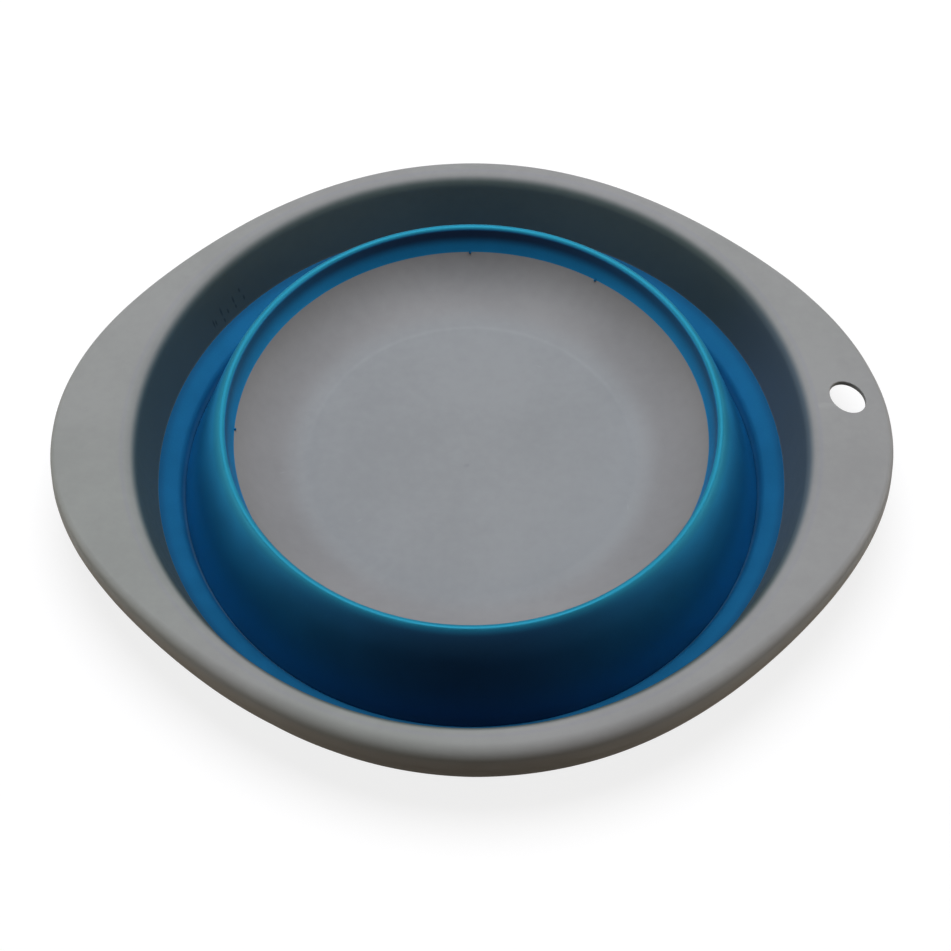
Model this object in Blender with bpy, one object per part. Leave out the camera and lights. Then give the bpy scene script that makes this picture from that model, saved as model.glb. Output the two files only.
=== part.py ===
"""Collapsible camp bowl, folded flat. Metres, +Z up, ears along X, the foot ring stands on Z = 0.

Every piece is a turned ring: its section is a chain of corners, each with its own rounding, spun
about Z. The hard rim's outer corners are then drawn out along X into the two ears.
"""

import math

import bmesh
import bpy

# Fineness and fits
SEGMENTS = 72              # stations around every ring
ARC_ERROR = 0.00008        # how far a rounding's straight steps may stay off the true arc
FINEST_STEP = math.radians(15)   # smallest and largest turn between two points of a rounding
COARSEST_STEP = math.radians(45)
SIDE_SHARE = 0.98          # most of a side that the roundings at its two ends may take together
FLAT_TURN = 0.001          # a corner that turns less than this needs no rounding
SHARP_ANGLE = math.radians(35)   # edges that turn more than this are shaded sharp
MERGE = 0.000001           # distance at which a spun seam closes
GAP = 0.0003               # clearance between pieces that touch

# Soft wall, from the table up and from the fold ring out
FOLD_GROUND = 0.0008       # air between the folded wall and the table
HINGE_WALL = 0.0011        # soft wall at the crease, where it folds
SOFT_WALL = 0.0016         # soft wall elsewhere
CREASE_LIP = 0.0008        # height of the sharp edge beside the crease
CREASE_GROOVE = 0.0004     # width of the crease's groove on each side of the split
PANEL_DROP = 0.0313        # from the top of the fold ring down to the crease edge
PANEL_FLARE = 0.0144       # from the top of the fold ring out to the crease edge
SHOULDER_ROUND = 0.0050    # outer rounding of the fold ring
SHOULDER_SPLIT = math.radians(30)  # where the fold ring ends and the flip panel starts
CREST_ROUND = 0.0012       # inner rounding of the fold ring
COLLAR_HEIGHT = 0.0091     # from the base's edge up to the top of the fold ring
COLLAR_LEAN = 0.0014       # run of the cove that carries the base's corner on to upright
LEDGE_RUN = 0.0072         # from the crease edge out to the rim's skirt
LEDGE_RISE = 0.0057        # from the crease edge up to the rim's skirt
KNEE_RUN = 0.0019          # from the crease edge out to the ledge's knee
KNEE_RISE = 0.0029         # from the crease edge up to the ledge's knee
KNEE_ROUND = 0.0025

# Tongues and grooves that lock each hard ring into the soft wall
TONGUE_WALL = 0.0008
BASE_TONGUE_LENGTH = 0.0015
BASE_GROOVE_LIP = 0.0013   # soft lip between the base's groove and the food, at the base's edge
RIM_TONGUE_LENGTH = 0.0030
RIM_GROOVE_LIP = 0.0008    # soft lip between the rim's groove and the food
GROOVE_BACK = 0.0010       # soft lip outside a groove, and past its end

# Base
BASE_EDGE_RADIUS = 0.0705
CORNER_RUN = 0.0206        # how far the rounded corner reaches in from the edge
CORNER_DROP = 0.0119       # how far the floor lies below the edge
BASE_WALL = 0.0022
DISC_STEP = 0.0004         # height of the raised disc on the floor
DISC_FADE = 0.0058         # run over which the disc falls to the floor
FOOT_RADIUS = 0.0592       # outer radius of the foot ring where it stands
FOOT_WALL = 0.0024
FOOT_DRAFT = 0.0005        # how much wider the foot ring is at its root
FOOT_ROUND = 0.0006

# Rim
SKIRT_HEIGHT = 0.0189      # from the skirt's lower edge up to the rim's top
SKIRT_LEAN = 0.00565       # outward lean of the skirt over that height
SKIRT_WALL = 0.0025
RIM_WALL = 0.0018
RIM_INNER_ROUND = 0.0050
RIM_FLAT = 0.0001          # flat between the two roundings, away from the ears
RIM_OUTER_ROUND = 0.0048
LIP_DEPTH = 0.0118         # from the rim's top down to the lip's edge
LIP_WALL = 0.0018
LIP_DRAFT = 0.0004
LIP_FLARE = 0.0006         # how far the lip's lower edge turns out again, away from the ears
LIP_FLARE_HEIGHT = 0.0030
LIP_EDGE_ROUND = 0.0005
EAR_REACH = 0.0159         # how far an ear stands out past the round rim
EAR_POWER = 6.5            # the higher, the narrower the ear
EAR_LIP_RISE = 0.0060      # how much higher the lip's edge is at an ear's tip
EAR_EDGE_ROUND = 0.0018    # outer rounding at an ear's tip
EAR_FADE = 3               # the higher, the nearer the tip the lip and its rounding shrink
HANG_HOLE_LENGTH = 0.0124  # the hole is an oval, whose length follows the ear's edge
HANG_HOLE_WIDTH = 0.0096
HANG_HOLE_TURN = math.radians(-57)
HANG_HOLE_INSET = 0.0121   # from the ear's tip in to the hole's centre
HANG_HOLE_OFFSET = 0.0107  # from the long axis back to the hole's centre
HANG_HOLE_SIDES = 32

# Places that follow from the sizes above
crease_height = FOLD_GROUND + HINGE_WALL + CREASE_LIP
crest_height = crease_height + PANEL_DROP
edge_height = crest_height - COLLAR_HEIGHT
floor_height = edge_height - CORNER_DROP
floor_radius = BASE_EDGE_RADIUS - CORNER_RUN
crest_radius = BASE_EDGE_RADIUS + COLLAR_LEAN + CREST_ROUND
crease_radius = crest_radius + PANEL_FLARE
seam_radius = crease_radius + LEDGE_RUN
seam_height = crease_height + LEDGE_RISE
rim_top = seam_height + SKIRT_HEIGHT


def arc_steps(radius, sweep):
    """Number of straight steps that follow an arc closely enough."""
    step = 2 * math.acos(max(0.0, 1 - ARC_ERROR / radius))
    step = max(FINEST_STEP, min(COARSEST_STEP, step))
    return max(1, math.ceil(abs(sweep) / step - 1e-6))


def side(start, end):
    """Direction and length of the straight side from one corner to another."""
    run, rise = end[0] - start[0], end[1] - start[1]
    length = math.hypot(run, rise)
    return run / length, rise / length, length


def opening(before, corner, after):
    """Angle between the two sides that meet at a corner."""
    ax, az, _ = side(corner, before)
    bx, bz, _ = side(corner, after)
    return math.acos(max(-1.0, min(1.0, ax * bx + az * bz)))


def rounding(before, corner, after, reach):
    """Points of the arc that leaves both sides of a corner at this distance from it."""
    half = opening(before, corner, after) / 2
    radius = reach * math.tan(half)
    ax, az, _ = side(corner, before)
    bx, bz, _ = side(corner, after)
    mx, mz, _ = side((0, 0), (ax + bx, az + bz))
    to_centre = radius / math.sin(half)
    cx, cz = corner[0] + mx * to_centre, corner[1] + mz * to_centre
    start = math.atan2(corner[1] + az * reach - cz, corner[0] + ax * reach - cx)
    end = math.atan2(corner[1] + bz * reach - cz, corner[0] + bx * reach - cx)
    sweep = (end - start + math.pi) % (2 * math.pi) - math.pi
    steps = arc_steps(radius, sweep)
    angles = [start + sweep * i / steps for i in range(steps + 1)]
    return [(cx + radius * math.cos(t), cz + radius * math.sin(t)) for t in angles]


def section(corners, closed=True):
    """Points (radius, height, ear, run, rise) from corners (radius, height, rounding).

    Where the roundings at the two ends of a side are too large for it, both shrink alike. A corner
    that follows the ears has two more values: 1, and a 1 if its rounding gets tighter there. The
    points of a rounding that gets tighter keep their run and rise from the corner.
    """
    count = len(corners)
    wanted = []
    for i, corner in enumerate(corners):
        angle = opening(corners[i - 1], corner, corners[(i + 1) % count])
        inner = closed or 0 < i < count - 1
        rounded = inner and corner[2] > 0 and math.pi - angle > FLAT_TURN
        wanted.append(corner[2] / math.tan(angle / 2) if rounded else 0.0)
    points = []
    for i, corner in enumerate(corners):
        follows, tighter = corner[3:] or (0, 0)
        if not wanted[i]:
            points.append((*corner[:2], follows, 0, 0))
            continue
        before, after = corners[i - 1], corners[(i + 1) % count]
        room_before = SIDE_SHARE * side(corner, before)[2] / (wanted[i] + wanted[i - 1])
        room_after = SIDE_SHARE * side(corner, after)[2] / (wanted[i] + wanted[(i + 1) % count])
        reach = wanted[i] * min(1.0, room_before, room_after)
        for r, z in rounding(before, corner, after, reach):
            points.append((r, z, follows, tighter * (r - corner[0]), tighter * (z - corner[1])))
    return points


def arc(centre, radius, first, last):
    """Corners without a rounding along an arc, whose angles are measured from straight up."""
    steps = arc_steps(radius, last - first)
    angles = [first + (last - first) * i / steps for i in range(steps + 1)]
    return [(centre[0] + radius * math.sin(t), centre[1] + radius * math.cos(t), 0) for t in angles]


def material(name, colour, roughness):
    """One plastic, as a Principled surface."""
    made = bpy.data.materials.new(name)
    made.use_nodes = True
    surface = made.node_tree.nodes["Principled BSDF"]
    surface.inputs["Base Color"].default_value = (*colour, 1)
    surface.inputs["Roughness"].default_value = roughness
    surface.inputs["Metallic"].default_value = 0
    return made


def turned(name, points, finish, parent, closed=True):
    """Spins a section about Z into one closed body, and draws its ears out."""
    bm = bmesh.new()
    ear = bm.verts.layers.int.new("ear")
    offset = bm.verts.layers.float_vector.new("offset")
    verts = []
    for r, z, follows, run, rise in points:
        v = bm.verts.new((r, 0, z))
        v[ear] = follows
        v[offset] = (run, 0, rise)
        verts.append(v)
    pairs = list(zip(verts, verts[1:] + verts[:1])) if closed else list(zip(verts, verts[1:]))
    edges = [bm.edges.new(pair) for pair in pairs]
    bmesh.ops.spin(
        bm,
        geom=verts + edges,
        cent=(0, 0, 0),
        axis=(0, 0, 1),
        angle=2 * math.pi,
        steps=SEGMENTS,
        use_merge=True,
    )
    bmesh.ops.remove_doubles(bm, verts=bm.verts, dist=MERGE)
    for v in bm.verts:
        if v[ear]:
            radius = math.hypot(v.co.x, v.co.y)
            cosine = v.co.x / radius
            tighter = edge_tightening(cosine)
            drawn = radius + ear_reach(cosine) + lip_flare(cosine, v.co.z) - tighter * v[offset].x
            v.co.x *= drawn / radius
            v.co.y *= drawn / radius
            v.co.z += lip_lift(cosine, v.co.z) - tighter * v[offset].z
    bmesh.ops.recalc_face_normals(bm, faces=bm.faces)
    mesh = bpy.data.meshes.new(name)
    bm.to_mesh(mesh)
    bm.free()
    mesh.materials.append(finish)
    mesh.shade_smooth()
    mesh.set_sharp_from_angle(angle=SHARP_ANGLE)
    made = bpy.data.objects.new(name, mesh)
    made.parent = parent
    bpy.context.collection.objects.link(made)
    return made


def ear_reach(cosine):
    """How far the outline stands out past the round rim, in a direction with this cosine to X."""
    return EAR_REACH * abs(cosine) ** EAR_POWER


def edge_tightening(cosine):
    """How much of the rim's outer rounding is gone, in a direction with this cosine to X."""
    return (1 - EAR_EDGE_ROUND / RIM_OUTER_ROUND) * abs(cosine) ** EAR_FADE


def lip_lift(cosine, height):
    """How much a point of the lip rises: nothing where the rounding ends, all of it at the edge."""
    share = (rim_top - RIM_OUTER_ROUND - height) / (LIP_DEPTH - RIM_OUTER_ROUND)
    return EAR_LIP_RISE * abs(cosine) ** EAR_FADE * max(0.0, min(1.0, share))


def lip_flare(cosine, height):
    """How far the lip's lower end turns out again, which fades towards the ears."""
    share = max(0.0, (rim_top - LIP_DEPTH + LIP_FLARE_HEIGHT - height) / LIP_FLARE_HEIGHT)
    return LIP_FLARE * share**2 * (1 - abs(cosine) ** EAR_FADE)


def base_bend():
    """How far the base's rounded corner has turned up where it ends."""
    return 2 * math.atan2(CORNER_DROP, CORNER_RUN)


def base_dish(finish, parent):
    """Floor with its raised disc, rounded corner, tongue under the collar, and foot ring."""
    bend = base_bend()
    corner_radius = CORNER_RUN / math.sin(bend)
    centre = (floor_radius, floor_height + corner_radius)
    inside = arc(centre, corner_radius, math.pi, math.pi - bend)
    under_radius = corner_radius + BASE_WALL
    level = math.acos((centre[1] - edge_height) / under_radius)
    outside = arc(centre, under_radius, math.pi - level, math.pi)
    foot_root = FOOT_RADIUS + FOOT_DRAFT
    outside = [c for c in outside if c[0] > foot_root + BASE_WALL / 2]
    root_height = centre[1] - math.sqrt(under_radius**2 - (foot_root - centre[0]) ** 2)
    tongue_in = BASE_EDGE_RADIUS + BASE_GROOVE_LIP + GAP
    tongue_top = edge_height + BASE_TONGUE_LENGTH
    under = floor_height - BASE_WALL
    corners = [(0, floor_height + DISC_STEP, 0)]
    corners += [(floor_radius - DISC_FADE, floor_height + DISC_STEP, 0)]
    corners += inside
    corners += [
        (tongue_in, edge_height, 0),
        (tongue_in, tongue_top, 0),
        (tongue_in + TONGUE_WALL, tongue_top, 0),
        (tongue_in + TONGUE_WALL, edge_height, 0),
    ]
    corners += outside
    corners += [
        (foot_root, root_height, 0),
        (FOOT_RADIUS, 0, FOOT_ROUND),
        (FOOT_RADIUS - FOOT_WALL, 0, FOOT_ROUND),
        (FOOT_RADIUS - FOOT_WALL - FOOT_DRAFT, under, FOOT_ROUND),
        (0, under, 0),
    ]
    return turned("base_dish", section(corners, closed=False), finish, parent, closed=False)


def shoulder_point(angle, depth):
    """A point of the fold ring's outer rounding, this deep under its surface."""
    reach = SHOULDER_ROUND - depth
    centre_height = crest_height - SHOULDER_ROUND
    return crest_radius + reach * math.sin(angle), centre_height + reach * math.cos(angle)


def fold_collar(finish, parent):
    """Wall from the base's edge up to the fold ring, with the groove for the base's tongue.

    Its inner side starts as a cove that carries the base's corner on to upright.
    """
    foot = edge_height + GAP
    inner_top = BASE_EDGE_RADIUS + COLLAR_LEAN
    bend = base_bend()
    cove_radius = COLLAR_LEAN / (1 - math.sin(bend))
    cove_centre = (inner_top - cove_radius, edge_height + cove_radius * math.cos(bend))
    cove_start = math.acos((cove_centre[1] - foot) / cove_radius)
    groove_in = BASE_EDGE_RADIUS + BASE_GROOVE_LIP
    groove_out = groove_in + TONGUE_WALL + 2 * GAP
    back = groove_out + GROOVE_BACK
    groove_top = foot + BASE_TONGUE_LENGTH
    hollow = crest_height - SOFT_WALL
    corners = arc(cove_centre, cove_radius, math.pi - cove_start, math.pi / 2)
    corners += [(inner_top, crest_height, CREST_ROUND)]
    corners += arc((crest_radius, crest_height - SHOULDER_ROUND), SHOULDER_ROUND, 0, SHOULDER_SPLIT)
    corners += [
        (*shoulder_point(SHOULDER_SPLIT, SOFT_WALL), 0),
        (inner_top + SOFT_WALL, hollow, SOFT_WALL / 4),
        (inner_top + SOFT_WALL, groove_top + 2 * GROOVE_BACK, 0),
        (back, groove_top + GROOVE_BACK, 0),
        (back, foot, 0),
        (groove_out, foot, 0),
        (groove_out, groove_top, 0),
        (groove_in, groove_top, 0),
        (groove_in, foot, 0),
    ]
    return turned("fold_collar", section(corners), finish, parent)


def panel_slope():
    """Angle from straight up at which the cone's surface leaves the fold ring's rounding."""
    foot = (crease_radius - CREASE_GROOVE, crease_height - CREASE_LIP)
    centre_height = crest_height - SHOULDER_ROUND
    run, drop = foot[0] - crest_radius, centre_height - foot[1]
    return math.atan2(run, -drop) - math.acos(SHOULDER_ROUND / math.hypot(run, drop))


def flip_panel(finish, parent):
    """Cone that turns inside out, from the fold ring down to the crease."""
    slope = panel_slope()
    start = SHOULDER_SPLIT + GAP / SHOULDER_ROUND
    centre = (crest_radius, crest_height - SHOULDER_ROUND)
    toe = (crease_radius - CREASE_GROOVE, crease_height - CREASE_LIP)
    corners = arc(centre, SHOULDER_ROUND, start, slope)
    corners += [
        (*toe, 0),
        (toe[0], FOLD_GROUND, 0),
        (toe[0] - SOFT_WALL, FOLD_GROUND, HINGE_WALL / 2),
    ]
    corners += arc(centre, SHOULDER_ROUND - SOFT_WALL, slope, start)
    return turned("flip_panel", section(corners), finish, parent)


def upper_band(finish, parent):
    """Ledge from the crease out to the rim's skirt, with the groove for the rim's tongue."""
    top = seam_height - GAP
    groove_in = seam_radius + RIM_GROOVE_LIP
    groove_out = groove_in + TONGUE_WALL + 2 * GAP
    back = groove_out + GROOVE_BACK
    groove_floor = top - RIM_TONGUE_LENGTH
    heel = groove_floor - GROOVE_BACK
    root = crease_radius - CREASE_GROOVE + GAP
    knee_radius = crease_radius + KNEE_RUN
    corners = [
        (root, FOLD_GROUND, 0),
        (root, FOLD_GROUND + HINGE_WALL, 0),
        (crease_radius, crease_height, 0),
        (knee_radius, crease_height + KNEE_RISE, KNEE_ROUND),
        (seam_radius, top, 0),
        (groove_in, top, 0),
        (groove_in, groove_floor, 0),
        (groove_out, groove_floor, 0),
        (groove_out, top, 0),
        (back, top, 0),
        (back, heel, GROOVE_BACK),
        (knee_radius + SOFT_WALL, crease_height + KNEE_RISE - SOFT_WALL, KNEE_ROUND),
        (crease_radius + SOFT_WALL, FOLD_GROUND, HINGE_WALL / 2),
    ]
    return turned("upper_band", section(corners), finish, parent)


def rim_frame(finish, parent):
    """Flange with its two ears, turned-down lip, slanted skirt, tongue and hang hole."""
    top_corner = seam_radius + SKIRT_LEAN
    lean = math.atan2(SKIRT_LEAN, SKIRT_HEIGHT)
    inner_reach = RIM_INNER_ROUND * math.tan((math.pi / 2 - lean) / 2)
    outer = top_corner + inner_reach + RIM_FLAT + RIM_OUTER_ROUND
    lip_edge = rim_top - LIP_DEPTH
    lip_side = outer + LIP_DRAFT
    waist = lip_edge + LIP_FLARE_HEIGHT
    middle = lip_edge + LIP_FLARE_HEIGHT / 2
    under = rim_top - RIM_WALL
    under_corner = seam_radius + SKIRT_LEAN * (SKIRT_HEIGHT - RIM_WALL) / SKIRT_HEIGHT + SKIRT_WALL
    tongue_in = seam_radius + RIM_GROOVE_LIP + GAP
    tongue_foot = seam_height - RIM_TONGUE_LENGTH
    corners = [
        (seam_radius, seam_height, 0),
        (top_corner, rim_top, RIM_INNER_ROUND),
        (outer, rim_top, RIM_OUTER_ROUND, 1, 1),
        (lip_side, waist, 0, 1, 0),
        (lip_side, middle, 0, 1, 0),
        (lip_side, lip_edge, LIP_EDGE_ROUND, 1, 0),
        (lip_side - LIP_WALL, lip_edge, LIP_EDGE_ROUND, 1, 0),
        (lip_side - LIP_WALL, middle, 0, 1, 0),
        (lip_side - LIP_WALL, waist, 0, 1, 0),
        (outer - LIP_WALL, under, RIM_OUTER_ROUND - RIM_WALL, 1, 1),
        (under_corner, under, RIM_INNER_ROUND - RIM_WALL),
        (seam_radius + SKIRT_WALL, seam_height, 0),
        (tongue_in + TONGUE_WALL, seam_height, 0),
        (tongue_in + TONGUE_WALL, tongue_foot, 0),
        (tongue_in, tongue_foot, 0),
        (tongue_in, seam_height, 0),
    ]
    made = turned("rim_frame", section(corners), finish, parent)
    hole_x = outer + EAR_REACH - HANG_HOLE_INSET
    bpy.ops.mesh.primitive_cylinder_add(
        vertices=HANG_HOLE_SIDES,
        radius=HANG_HOLE_LENGTH / 2,
        depth=8 * RIM_WALL,
        location=(hole_x, HANG_HOLE_OFFSET, rim_top),
        rotation=(0, 0, HANG_HOLE_TURN),
    )
    cutter = bpy.context.object
    cutter.scale.y = HANG_HOLE_WIDTH / HANG_HOLE_LENGTH
    cutter.name = "hang_hole_cutter"
    cutter.hide_render = True
    cutter.display_type = "WIRE"
    cutter.parent = parent
    cut = made.modifiers.new("hang_hole", "BOOLEAN")
    cut.operation = "DIFFERENCE"
    cut.solver = "EXACT"
    cut.object = cutter
    return made


def empty(name):
    """A parent on the unfolding axis."""
    made = bpy.data.objects.new(name, None)
    bpy.context.collection.objects.link(made)
    return made


for old in list(bpy.data.objects):
    bpy.data.objects.remove(old, do_unlink=True)

hard_grey = material("hard_grey", (0.291, 0.296, 0.302), 0.45)
soft_blue = material("soft_blue", (0.010, 0.098, 0.205), 0.38)

# The base stands still, and the rim slides up and down along Z
standing = empty("standing_body")
sliding = empty("sliding_body")
base_dish(hard_grey, standing)
fold_collar(soft_blue, standing)
flip_panel(soft_blue, standing)
upper_band(soft_blue, sliding)
rim_frame(hard_grey, sliding)
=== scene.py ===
import bpy
import numpy as np
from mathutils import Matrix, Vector


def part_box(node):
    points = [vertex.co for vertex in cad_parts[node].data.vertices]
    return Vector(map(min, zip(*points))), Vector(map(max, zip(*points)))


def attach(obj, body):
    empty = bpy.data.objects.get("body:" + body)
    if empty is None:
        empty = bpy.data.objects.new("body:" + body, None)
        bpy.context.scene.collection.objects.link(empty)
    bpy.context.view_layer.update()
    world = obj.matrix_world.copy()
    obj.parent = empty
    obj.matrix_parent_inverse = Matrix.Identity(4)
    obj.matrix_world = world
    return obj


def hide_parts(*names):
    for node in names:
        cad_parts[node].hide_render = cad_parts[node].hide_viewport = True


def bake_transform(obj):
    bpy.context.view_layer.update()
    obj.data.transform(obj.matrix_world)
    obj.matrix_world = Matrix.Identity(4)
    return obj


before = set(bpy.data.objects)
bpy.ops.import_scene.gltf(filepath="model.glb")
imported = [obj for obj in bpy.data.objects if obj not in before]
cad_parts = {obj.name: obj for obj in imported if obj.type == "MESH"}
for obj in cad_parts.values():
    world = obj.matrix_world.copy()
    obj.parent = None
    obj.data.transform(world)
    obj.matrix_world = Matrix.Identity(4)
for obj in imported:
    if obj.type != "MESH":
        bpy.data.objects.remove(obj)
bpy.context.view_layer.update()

# Base. One injection moulding in grey polypropylene: a flat disc, a wide rounded corner that runs up
# to the soft wall, and a foot ring below. The soft wall is moulded onto its edge.

FIT_GAP = 0.0003
STATIONS = 360
ROW_SPACING = 0.0010
FINE_TURN = np.radians(6)
LEAST_TURN = 0.001
SIDE_SHARE = 0.98
SHARP_ANGLE = np.radians(38)
base_low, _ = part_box("base_dish")
collar_low, collar_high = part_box("fold_collar")
edge_height = collar_low.z - FIT_GAP
EDGE_INSET = 0.0051
edge_radius = collar_high.x - EDGE_INSET
CORNER_RUN = 0.0206
CORNER_DROP = 0.0119
floor_radius = edge_radius - CORNER_RUN
floor_height = edge_height - CORNER_DROP
DISC_STEP = 0.0004
DISC_FADE = 0.0058
DISC_POINTS = 12
BASE_WALL = 0.0022
BASE_OVERLAP = 0.0012
FOOT_RADIUS = 0.0592
FOOT_WALL = 0.0024
FOOT_DRAFT = 0.0005
FOOT_ROUND = 0.0007
FOOT_ROOT_ROUND = 0.0008
GATE_RADIUS = 0.0024
GATE_DRAFT = 0.0002
GATE_DEPTH = 0.0007
GATE_ROUND = 0.0002


def rounded(corners, closed=True):
    """A section as close rows (radius, height, follows, run, rise) from corners (radius, height, rounding).

    Each corner becomes the arc that touches both of its sides at rounding / tan(half its opening) from
    it; roundings too large for the side between them shrink alike. A fourth value says how far the
    corner follows the rim's outline, and a fifth whether its arc keeps its run and rise from it.
    """
    chain = np.zeros((len(corners), 5))
    for i, corner in enumerate(corners):
        chain[i, : len(corner)] = corner
    before = np.roll(chain, 1, axis=0)[:, :2] - chain[:, :2]
    after = np.roll(chain, -1, axis=0)[:, :2] - chain[:, :2]
    before_length, after_length = np.hypot(*before.T), np.hypot(*after.T)
    before, after = before / before_length[:, None], after / after_length[:, None]
    opening = np.arccos(np.clip(np.sum(before * after, axis=1), -1, 1))
    wanted = np.where(np.pi - opening > LEAST_TURN, chain[:, 2] / np.tan(opening / 2), 0)
    if not closed:
        wanted[[0, -1]] = 0
    least = 1e-9
    room_before = SIDE_SHARE * before_length / np.maximum(wanted + np.roll(wanted, 1), least)
    room_after = SIDE_SHARE * after_length / np.maximum(wanted + np.roll(wanted, -1), least)
    reach = wanted * np.minimum(1, np.minimum(room_before, room_after))
    rows = []
    for i, (r, z, _, follows, keeps) in enumerate(chain):
        if reach[i] == 0:
            rows.append([[r, z, follows, 0, 0]])
            continue
        radius = reach[i] * np.tan(opening[i] / 2)
        middle = before[i] + after[i]
        centre = np.array([r, z]) + middle / np.hypot(*middle) * radius / np.sin(opening[i] / 2)
        first = np.arctan2(*(np.array([r, z]) + before[i] * reach[i] - centre)[::-1])
        last = np.arctan2(*(np.array([r, z]) + after[i] * reach[i] - centre)[::-1])
        sweep = (last - first + np.pi) % (2 * np.pi) - np.pi
        turn = first + sweep * np.linspace(0, 1, 2 + int(abs(sweep) / FINE_TURN))
        arc = np.c_[centre[0] + radius * np.cos(turn), centre[1] + radius * np.sin(turn)]
        rows.append(np.c_[arc, follows + 0 * turn, keeps * (arc - [r, z])])
    rows = np.concatenate([np.array(row, float).reshape(-1, 5) for row in rows])
    ends = np.roll(rows, -1, axis=0) if closed else rows[1:]
    starts = rows if closed else rows[:-1]
    steps = np.maximum(1, np.round(np.hypot(*(ends - starts)[:, :2].T) / ROW_SPACING).astype(int))
    which = np.repeat(np.arange(len(steps)), steps)
    along = (np.arange(len(which)) - np.repeat(np.cumsum(steps) - steps, steps)) / steps[which]
    close = starts[which] + (ends - starts)[which] * along[:, None]
    return close if closed else np.vstack([close, rows[-1]])


def arc_corners(centre, radius, first, last):
    """Corners along an arc whose angles are measured from straight up towards the outside."""
    turn = np.linspace(first, last, 2 + int(abs(last - first) / (FINE_TURN / 2)))
    return np.c_[centre[0] + radius * np.sin(turn), centre[1] + radius * np.cos(turn), 0 * turn].tolist()


def round_the_axis(name, radius, height, closed=True):
    """Rows carried round Z.

    At the angle t, row i has its point at (radius[i] cos t, radius[i] sin t, height[i]). Radius and
    height may also change with t, in columns. An open chain ends in a pole at each end.
    """
    stations = radius.shape[1] if radius.shape[1] > 1 else STATIONS
    angle = np.linspace(0, 2 * np.pi, stations, endpoint=False)
    area = np.sum(radius[:, 0] * np.roll(height[:, 0], -1) - np.roll(radius[:, 0], -1) * height[:, 0])
    if area < 0:
        radius, height = radius[::-1], height[::-1]
    poles = np.zeros((0, 3))
    if not closed:
        poles = np.array([[0, 0, height[0, 0]], [0, 0, height[-1, 0]]])
        radius, height = radius[1:-1], height[1:-1]
    rows = len(radius)
    grid = np.empty((rows, stations, 3))
    grid[..., 0], grid[..., 1], grid[..., 2] = radius * np.cos(angle), radius * np.sin(angle), height
    index = np.arange(rows * stations).reshape(rows, stations)
    here = index if closed else index[:-1]
    above = np.roll(index, -1, axis=0) if closed else index[1:]
    faces = np.stack([here, np.roll(here, -1, 1), np.roll(above, -1, 1), above], -1).reshape(-1, 4).tolist()
    if not closed:
        low, high = rows * stations, rows * stations + 1
        faces += np.stack([np.roll(index[0], -1), index[0], np.full(stations, low)], -1).tolist()
        faces += np.stack([index[-1], np.roll(index[-1], -1), np.full(stations, high)], -1).tolist()
    mesh = bpy.data.meshes.new(name)
    mesh.from_pydata(np.vstack([grid.reshape(-1, 3), poles]), [], faces)
    mesh.shade_smooth()
    mesh.set_sharp_from_angle(angle=SHARP_ANGLE)
    piece = bpy.data.objects.new(name, mesh)
    bpy.context.scene.collection.objects.link(piece)
    return piece


def base_rows():
    """Disc, whose rim falls away as a parabola, concave corner arc, outer wall and foot ring."""
    bend = 2 * np.arctan2(CORNER_DROP, CORNER_RUN)
    corner = CORNER_RUN / np.sin(bend)
    centre = (floor_radius, floor_height + corner)
    fall = np.linspace(0, 1, DISC_POINTS)
    disc = np.c_[floor_radius - DISC_FADE * (1 - fall), floor_height + DISC_STEP * (1 - fall**2), 0 * fall]
    outer = corner + BASE_WALL
    level = np.arccos((centre[1] - edge_height) / outer)
    foot_root = FOOT_RADIUS + FOOT_DRAFT
    outside = arc_corners(centre, outer, np.pi - level, np.pi)
    outside = [c for c in outside if c[0] > foot_root + BASE_WALL / 2]
    root_height = centre[1] - np.sqrt(outer**2 - (foot_root - centre[0]) ** 2)
    under = floor_height - BASE_WALL
    corners = [[0, floor_height + DISC_STEP, 0]] + disc.tolist()
    corners += arc_corners(centre, corner, np.pi, np.pi - bend)[1:]
    corners += [[edge_radius + BASE_OVERLAP, edge_height, 0]]
    corners += outside
    corners += [
        [foot_root, root_height, FOOT_ROOT_ROUND],
        [FOOT_RADIUS, base_low.z, FOOT_ROUND],
        [FOOT_RADIUS - FOOT_WALL, base_low.z, FOOT_ROUND],
        [FOOT_RADIUS - FOOT_WALL - FOOT_DRAFT, under, FOOT_ROUND],
        [GATE_RADIUS + GATE_DRAFT, under, GATE_ROUND],
        [GATE_RADIUS, under - GATE_DEPTH, GATE_ROUND],
        [0, under - GATE_DEPTH, 0],
    ]
    return rounded(corners, closed=False)


def node(tree, kind, sockets, **settings):
    """A shader node. Each socket takes a constant, or the output that is linked to it."""
    made = tree.nodes.new("ShaderNode" + kind)
    for name, value in settings.items():
        setattr(made, name, value)
    for socket, value in sockets.items():
        if isinstance(value, bpy.types.NodeSocket):
            tree.links.new(value, made.inputs[socket])
        else:
            made.inputs[socket].default_value = value
    return made


def maths(tree, operation, *values):
    """One step of arithmetic on outputs and numbers."""
    return node(tree, "Math", dict(enumerate(values)), operation=operation).outputs[0]


def step(tree, value, low, high, start=0.0, end=1.0):
    """A smooth step from start to end while the value goes from low to high."""
    sockets = {"Value": value, "From Min": low, "From Max": high, "To Min": start, "To Max": end}
    return node(tree, "MapRange", sockets, interpolation_type="SMOOTHSTEP").outputs["Result"]


def blended(tree, share, first, second):
    """The first colour where the share is 0, and the second where it is 1."""
    return node(tree, "Mix", {0: share, 6: first, 7: second}, data_type="RGBA").outputs[2]


def tinted(tree, mask, strength, colour, tint):
    """The colour, with this much of the tint over it where the mask is 1."""
    return blended(tree, maths(tree, "MULTIPLY", mask, strength), colour, tint)


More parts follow.
